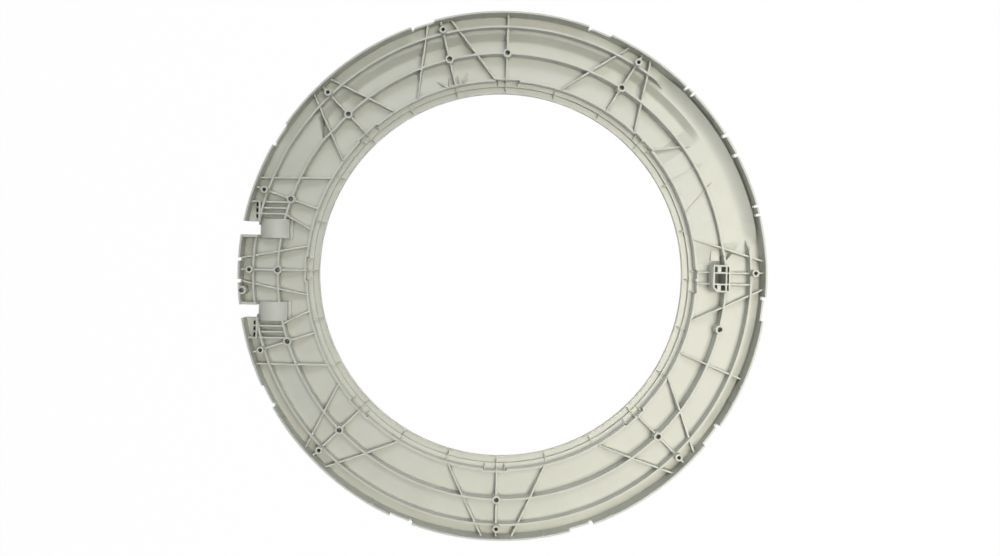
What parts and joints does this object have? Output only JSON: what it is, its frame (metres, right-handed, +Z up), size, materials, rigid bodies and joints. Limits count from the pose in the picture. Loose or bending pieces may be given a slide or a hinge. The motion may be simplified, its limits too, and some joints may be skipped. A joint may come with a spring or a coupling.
{
  "type": "washing machine inner door frame",
  "caption": "Round moulded plastic inner frame of a front-loading washing machine door, with a stepped glass seat, rib web, screw bosses, hinge pockets and a latch tower.",
  "frame": {"origin": "Centre of the ring, on the plane of the lowest flat of the show side", "axes": "+Z up the ribs and along the ring's axis, +X to the latch side, -X to the hinge side"},
  "size_m": [0.45, 0.45, 0.035],
  "materials": {
    "frame_plastic": "fine-grained satin moulding"
  },
  "bodies": {
    "root": {"inner_door_frame": "frame_plastic"}
  },
  "joints": []
}
